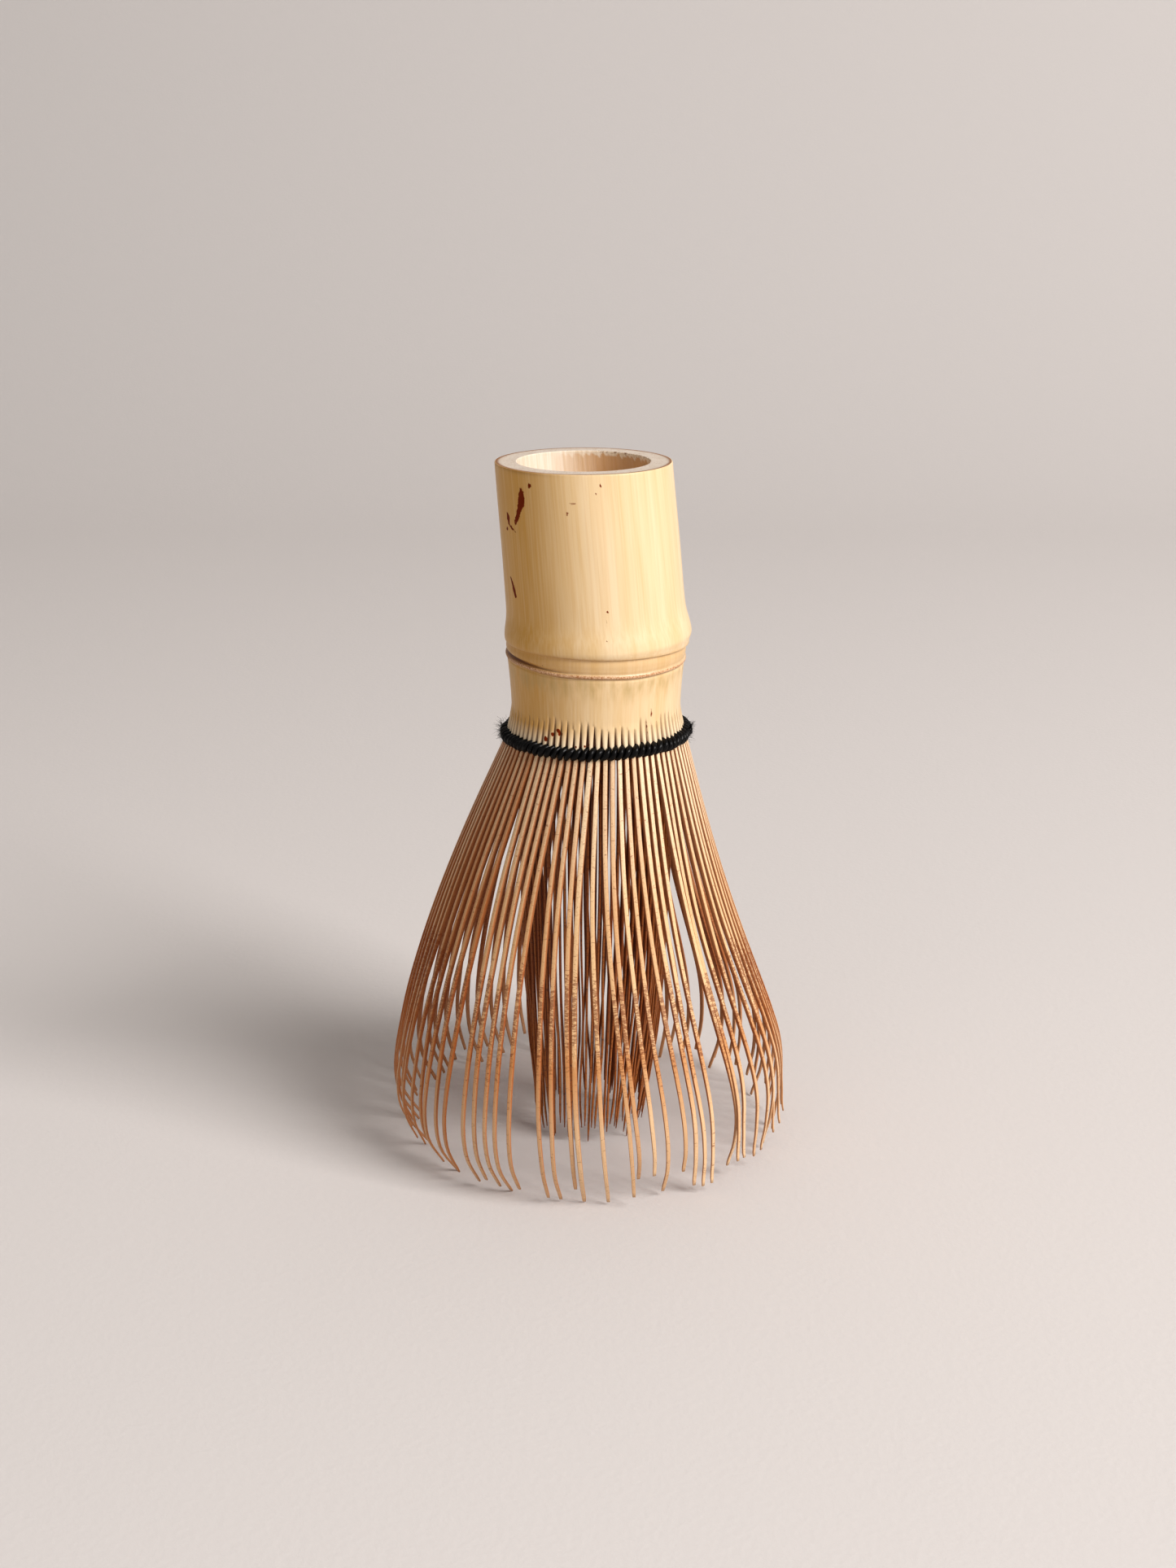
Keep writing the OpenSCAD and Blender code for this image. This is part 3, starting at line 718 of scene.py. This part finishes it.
# how far each blade is pushed round from its place at the tip, and how much shorter it is. Those
# at the front, counted from the first group's first tine, are set one by one
pushed = np.clip(rng.normal(0, 0.55, (tine_count, 1)), -1, 1)
shorter = rng.uniform(0, 0.9, (tine_count, 1))
strays = {
    70: (-0.5, 0.0), 71: (-1.0, 0.3), 72: (0.0, 0.0), 73: (0.7, 0.0), 74: (1.6, 0.0), 75: (0.7, 0.0),
    76: (0.6, 0.2), 77: (0.3, 0.1), 78: (0.2, 0.0), 79: (2.5, -0.9), 0: (1.7, 0.0), 1: (1.45, 0.7),
    2: (1.1, 0.2), 3: (1.7, -0.6), 4: (4.2, -1.2), 5: (2.1, 3.2), 6: (1.4, 2.1), 7: (1.6, 0.8),
    8: (3.2, 3.6), 9: (2.1, 0.2), 10: (0.1, -0.8), 11: (-0.3, -0.6), 12: (2.8, 1.6), 13: (0.6, 1.2),
    14: (0.3, 0.6), 15: (0.6, 0.4), 16: (1.9, 0.6), 17: (2.3, 0.9), 18: (0.6, 0.5), 19: (1.4, 0.5)}
for number, (push, less) in strays.items():
    pushed[number], shorter[number] = push, less
sideways = sideways + pushed * down * (1.45 - 0.45 * down)
# the whole ring bows to the left, most of all a third of the way down
bow = 8.8 * down * (1 - down) ** 2
root_turn = np.arctan2(outer[:, 0, :, 1].mean(1), outer[:, 0, :, 0].mean(1) - collar_x)[:, None]
sideways = sideways + bow * np.sin(root_turn)
in_and_out = down * (1 - down) * 0.3 * size[2] * np.sin(3 * down * math.pi + wave[2]) - 0.17 * down
# on the right the steamed ends have opened out again
opened = np.clip(np.cos(root_turn + 0.45), 0, 1) ** 1.5
uncurled = 2.0 * np.clip((down - 0.86) / 0.14, 0, 1) ** 2 - 0.35 * down ** 4
in_and_out = in_and_out + uncurled * opened
tip_round = np.where(places > 12.97, 0.86, 1.0)[None]
width = np.interp(down, [0, 0.1, 0.55, 0.85, 1], [0.71, 0.71, 0.68, 0.63, 0.52])
width = width * (1 + 0.04 * size[3]) * tip_round
thick = np.interp(down, [0, 0.15, 0.6, 0.85, 1], [0.84, 0.76, 0.5, 0.34, 0.26]) + 0 * width
thick = thick * tip_round
in_root = np.where(places < 0.6, 0.94, 1.0)[None]
bars, length, wide, deep = blade_bars(
    outer, (1.9, -0.53), places, width * in_root, thick * in_root,
    (sideways, in_and_out, shorter * down ** 3), blade_sides)
# the knife starts to thin a blade about 33.5 mm down and stops 17 mm further on
start_knife = 33.5 + rng.normal(0, 1.2, (tine_count, 1))
end_knife = start_knife + 17
knife = np.clip((length - start_knife) / 0.8, 0, 1) * np.clip((end_knife - length) / 9, 0, 1)
skin_side = np.clip((deep - 0.55) / 0.3, 0, 1) * (np.abs(wide) < 0.9)
skin_share = skin_side[None] + 0.3 * down[0, :, None] ** 2
# painted shade: tines on the left, away from the key light, are toned darker
left_tine_shade = 0.3 * np.clip(-np.cos(root_turn - 0.3), 0, 1)[..., None]
tone = rng.beta(1.2, 4.5, (tine_count, 1, 1)) * 0.7 + left_tine_shade
along = (down + 0 * length)[..., None]
outer_bamboo = tine_bamboo("shaved_outer_bamboo", (
    "#F4DFBC", "#EDC99A", "#D59C66", "#EBC89E", "#9C5014", "#7A3408"))
for number, group in enumerate(groups):
    own = slice(per_group * number, per_group * (number + 1))
    blades = tube_mesh(f"outer_blades_{group}", bars[own], outer_bamboo, {
        "down": along[own], "knife": knife[own, :, None], "tone": tone[own], "skin": skin_share})
    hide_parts(f"outer_tines_{group}")
    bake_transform(blades)

# ---------------------------------------------------------------------------------------------
# Inner tines: eighty finer slivers from the culm's inner wall, bent in to stand round the middle.
# They are amber, painted deeper still as shade inside the ring of outer tines, and dull, and spring
# from a ring of uncut wall inside the collar.

inner = cut_blades([f"inner_tines_{group}" for group in groups])
rings, blade_sides = 26, 8
places = np.linspace(0, 13, rings)
down = np.clip((places - 1) / 12, 0, 1)[None]
wave = rng.uniform(0, 2 * math.pi, (2, tine_count, 1))
size = rng.normal(0, 1, (2, tine_count, 1))
sideways = down * 0.22 * size[0] * np.sin(4 * down * math.pi + wave[0])
in_and_out = down * 0.3 * size[1] * np.sin(3 * down * math.pi + wave[1])
tip_round = np.where(places > 12.9, 0.4, 1.0)[None]
width = np.interp(down, [0, 1], [0.34, 0.3]) * tip_round + 0 * size[0]
thick = np.interp(down, [0, 0.5, 1], [0.58, 0.42, 0.24]) * tip_round + 0 * size[0]
bars, length, wide, deep = blade_bars(
    inner, (4.9, 0.0), places, width, thick, (sideways, in_and_out, 0 * sideways), blade_sides)
skin_share = np.clip(deep, 0, 1)[None, None]
tone = np.clip(rng.beta(2, 3, (tine_count, 1, 1)), 0, 0.9)
along = (down + 0 * length)[..., None]
# painted shade: these colours are darkened to stand in for the shade inside the ring
inner_bamboo = tine_bamboo("shaded_inner_bamboo", (
    "#9A581E", "#8C4612", "#864210", "#9E581E", "#6E3008", "#451A04"))
for number, group in enumerate(groups):
    own = slice(per_group * number, per_group * (number + 1))
    blades = tube_mesh(f"inner_blades_{group}", bars[own], inner_bamboo, {
        "down": along[own], "knife": np.array(0.3), "tone": tone[own], "skin": skin_share})
    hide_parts(f"inner_tines_{group}")
    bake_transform(blades)

# the uncut ring of wall that they spring from
spin = np.linspace(0, 2 * math.pi, 240, endpoint=False)[None]
ring_line = np.array([
    (11.86, 68.4), (11.86, 71.15), (11.2, 71.15), (11.2, 68.4), (11.35, 68.2), (11.75, 68.2)])
ring_points = round_collar(spin + 0 * ring_line[:, :1], ring_line[:, 1:], ring_line[:, :1])
root_ring = grid_mesh("inner_root_ring", ring_points, True, [
    inner_wall("inner_ring_wood", "#BC8A52", "#8A5A2E", (collar_x * 0.001, 0, 0), 0)])
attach(root_ring, "culm")
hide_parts("inner_roots")

# ---------------------------------------------------------------------------------------------
# Thread: black mercerised cotton, two strands twined round the roots of the outer tines.
# At each tine one strand passes in front and the other behind, and they change places in the
# slit, which spaces the tines and holds them spread. The ends are knotted on the right.

thread_level = 65.15
twists = 40
strand_radius = 0.46


def along_path(path, radius, sides, twist, ply):
    """Rings of points round a path, one bar by rings by sides. The cross-section is a circle
    whose radius swells ply times round it, turned by twist as it goes along."""
    tangent = np.gradient(path, axis=0)
    tangent /= np.linalg.norm(tangent, axis=1, keepdims=True)
    out = path - np.array([collar_x, 0, thread_level])
    out -= tangent * (out * tangent).sum(1, keepdims=True)
    out /= np.linalg.norm(out, axis=1, keepdims=True)
    third = np.cross(tangent, out)
    angle = np.arange(sides) * 2 * math.pi / sides
    swell = 1 + ply[1] * np.cos(ply[0] * angle[None] + twist[:, None])
    ring = radius[:, None, None] * swell[..., None]
    return (path[:, None] + ring * (out[:, None] * np.cos(angle)[None, :, None]
                                    + third[:, None] * np.sin(angle)[None, :, None]))[None]


def cotton(name):
    """Mercerised black cotton: a smooth lustrous yarn that glints along its fibres."""
    material, tree = bare_material(name)
    place = add(tree, "ShaderNodeTexCoord").outputs["Object"]
    # fibres are some 0.02 mm thick, drawn at 0.08 mm so that they show
    fibres = add(tree, "ShaderNodeTexNoise", {"Vector": place, "Scale": 12000, "Detail": 3}).outputs[0]
    black = add(tree, "ShaderNodeMix", {0: fibres, 6: linear("#040303"), 7: linear("#0E0C0D")},
                data_type="RGBA").outputs[2]
    relief = add(tree, "ShaderNodeBump", {
        "Height": fibres, "Strength": 0.45, "Distance": 0.00004}).outputs[0]
    shader = add(tree, "ShaderNodeBsdfPrincipled", {
        "Base Color": black, "Roughness": 0.5, "Normal": relief, "Specular IOR Level": 0.12,
        "Coat Weight": 0.22, "Coat Roughness": 0.14})
    add(tree, "ShaderNodeOutputMaterial", {0: shader.outputs[0]})
    return material


black_cotton = cotton("black_mercerised_cotton")
steps = twists * 22
turn = np.linspace(0, 2 * math.pi, steps, endpoint=False)
root_there = collar_radius(turn, thread_level + 0 * turn)
# the two plies of a strand go round each other once in about nine steps along it
ply_turn = 2 * math.pi * np.arange(-2, steps + 2) * 5 / 44
for number, half_turn in enumerate((0, math.pi)):
    # the front float is at its fullest over the middle of a tine
    phase = twists * (turn - first_tine) + half_turn
    radius = root_there - 0.34 + 0.84 * np.cos(phase) + 0.02 * np.sin(17 * turn + number)
    unevenness = 0.06 * np.sin(5 * turn + 1) + 0.04 * np.sin(23 * turn)
    level = thread_level + 0.2 * np.cos(turn) + 0.6 * np.sin(phase) + unevenness
    path = round_collar(turn, level, radius)
    closed = np.concatenate([path[-2:], path, path[:2]])
    swelling = strand_radius * (1 + 0.03 * np.sin(31 * np.arange(len(closed)) / 9))
    rings = along_path(closed, swelling, 14, ply_turn, (2, 0.13))[0, 2:-2]
    strand = grid_mesh(f"thread_strand_{'ab'[number]}", rings, True, [black_cotton])
    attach(strand, "culm")
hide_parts("thread_upper")
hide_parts("thread_lower", "thread_back")

# the knot is an overhand one, a trefoil drawn tight, and its tail stands up and frays
knot_turn = math.radians(-8)
knot_way = np.array([math.cos(knot_turn), math.sin(knot_turn), 0])
knot_side = np.array([-math.sin(knot_turn), math.cos(knot_turn), 0])
upward = np.array([0, 0, 1])
knot_middle = np.array([collar_x, 0, thread_level + 0.45]) + knot_way * 14.3
t = np.linspace(0, 2 * math.pi, 90)
trefoil = 0.12 * np.stack([
    np.sin(t) + 2 * np.sin(2 * t), np.cos(t) - 2 * np.cos(2 * t), -np.sin(3 * t)], -1)
path = knot_middle + trefoil[:, :1] * knot_side + trefoil[:, 1:2] * upward + trefoil[:, 2:] * knot_way
knot = along_path(path, np.full(90, 0.27), 10, np.arange(90) * 0.5, (2, 0.1))
knot = tube_mesh("thread_knot_loop", knot, black_cotton, {})
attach(knot, "culm")
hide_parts("thread_knot")
t = np.linspace(0, 1, 14)
away = t[:, None]
tail_line = (knot_middle + knot_way * (0.1 + 0.1 * away) - knot_side * 0.5 * away ** 2
             + upward * (0.1 + 0.75 * away))
tail = along_path(tail_line, 0.3 - 0.16 * t, 10, t * 14, (2, 0.14))
tail = tube_mesh("thread_tail", tail, black_cotton, {})
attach(tail, "culm")

# loose fibres stand off the yarn all round, most at its left end and at the frayed tail
hairs = 420
left_hairs, knot_hairs, tail_hairs = slice(0, 110), slice(110, 190), slice(110, 160)
spread = rng.uniform(0, 2 * math.pi, hairs)
spread[left_hairs] = math.radians(184) + rng.normal(0, 0.16, 110)
spread[knot_hairs] = knot_turn + rng.normal(0, 0.09, 80)
foot_phase = rng.uniform(-1, 1, hairs)
foot_radius = collar_radius(spread, thread_level + 0 * spread) + 0.75
foot = round_collar(spread, thread_level + 0.8 * foot_phase, foot_radius)
foot[tail_hairs] = tail_line[-1] + rng.normal(0, 0.07, (50, 3))
aim = np.stack([np.cos(spread), np.sin(spread), 0.9 * foot_phase], -1)
aim = aim + rng.normal(0, 0.55, (hairs, 3))
aim[tail_hairs] = knot_way * 0.3 + upward + rng.normal(0, 0.45, (50, 3))
aim /= np.linalg.norm(aim, axis=1, keepdims=True)
hair_length = rng.uniform(0.25, 0.6, hairs)
hair_length[left_hairs] = rng.uniform(0.4, 1.3, 110)
hair_length[knot_hairs] = rng.uniform(0.3, 1.0, 80)
curl = np.cross(aim, rng.normal(0, 1, (hairs, 3)))
t = np.linspace(0, 1, 5)
reach = (hair_length[:, None] * t)[..., None]
drift = (0.35 * hair_length[:, None] * t ** 2)[..., None]
path = foot[:, None] + aim[:, None] * reach + curl[:, None] * drift
angle = (np.arange(3) * 2 * math.pi / 3)[:, None]
side_a = np.cross(aim, [0.3, 0.5, 0.8])
side_a /= np.linalg.norm(side_a, axis=1, keepdims=True)
side_b = np.cross(aim, side_a)
# a fibre is some 0.02 mm thick, drawn at twice that so that it shows, and tapers to its end
hair_radius = (0.022 * (1 - 0.6 * t))[None, :, None, None]
ring = side_a[:, None, None] * np.cos(angle) + side_b[:, None, None] * np.sin(angle)
ring = ring * hair_radius
fuzz = tube_mesh("thread_fuzz", path[:, :, None] + ring, black_cotton, {})
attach(fuzz, "culm")

# ---------------------------------------------------------------------------------------------
# Stage: a plain sweep of pale paper that the whisk stands on, a softbox high on the right, a weak
# fill from the left, and the camera a third of a metre away, looking down on the whisk.

paper, tree = bare_material("matt_paper")
place = add(tree, "ShaderNodeTexCoord").outputs["Object"]
tooth = add(tree, "ShaderNodeTexNoise", {"Vector": place, "Scale": 900, "Detail": 3}).outputs[0]
relief = add(tree, "ShaderNodeBump", {
    "Height": tooth, "Strength": 0.15, "Distance": 0.0003}).outputs[0]
shader = add(tree, "ShaderNodeBsdfPrincipled", {
    "Base Color": linear("#DCD7D4"), "Roughness": 0.95, "Normal": relief, "Specular IOR Level": 0.1})
add(tree, "ShaderNodeOutputMaterial", {0: shader.outputs[0]})
# flat to half a metre behind the whisk, then a quarter of a circle, then straight up
rise = np.linspace(0, math.pi / 2, 24)[1:]
sweep_y = np.concatenate([np.linspace(-6.0, 0.5, 20), 0.5 + 0.5 * np.sin(rise), [1.0]])
sweep_z = np.concatenate([np.zeros(20), 0.5 - 0.5 * np.cos(rise), [2.2]])
sweep_x = np.array([-6.0, 6.0])[:, None]
sweep_points = np.stack([sweep_x + 0 * sweep_y, sweep_y + 0 * sweep_x, sweep_z + 0 * sweep_x], -1)
count = len(sweep_y)
first = np.arange(count - 1)
faces = np.stack([first, first + count, first + count + 1, first + 1], -1).tolist()
sweep = smooth_object("paper_sweep", sweep_points * 1000, faces, [paper], {})


def softbox(name, place, aim, size, power, colour):
    """Square area light at place, in metres, turned so that it faces aim."""
    lamp = bpy.data.lights.new(name, "AREA")
    lamp.size = size
    lamp.energy = power
    lamp.color = colour
    box = bpy.data.objects.new(name, lamp)
    way = np.array(aim) - np.array(place)
    tip = math.acos(-way[2] / np.linalg.norm(way))
    box.location = place
    box.rotation_euler = (tip, 0, math.atan2(way[1], way[0]) - math.pi / 2)
    bpy.context.scene.collection.objects.link(box)


softbox("key_softbox", (0.99, -0.67, 0.99), (0, 0, 0.07), 0.8, 23, (1.0, 0.97, 0.955))
softbox("fill_softbox", (-0.5, -1.0, 0.7), (0, 0, 0.06), 0.9, 1.0, (1.0, 0.98, 0.96))
world = bpy.data.worlds.new("pale_room")
world.use_nodes = True
background = world.node_tree.nodes["Background"]
background.inputs["Color"].default_value = (1.0, 0.98, 0.96, 1.0)
background.inputs["Strength"].default_value = 0.24
bpy.context.scene.world = world
bpy.context.scene.view_settings.view_transform = "Standard"
bpy.context.scene.view_settings.look = "Medium High Contrast"

camera_data = bpy.data.cameras.new("camera")
camera_data.sensor_width = 36
camera_data.lens = 50.44
camera = bpy.data.objects.new("camera", camera_data)
camera.location = (0.0, -0.3208, 0.1564)
camera.rotation_euler = (math.radians(90 - 17.3), 0, 0)
bpy.context.scene.collection.objects.link(camera)
bpy.context.scene.camera = camera

bpy.context.view_layer.update()
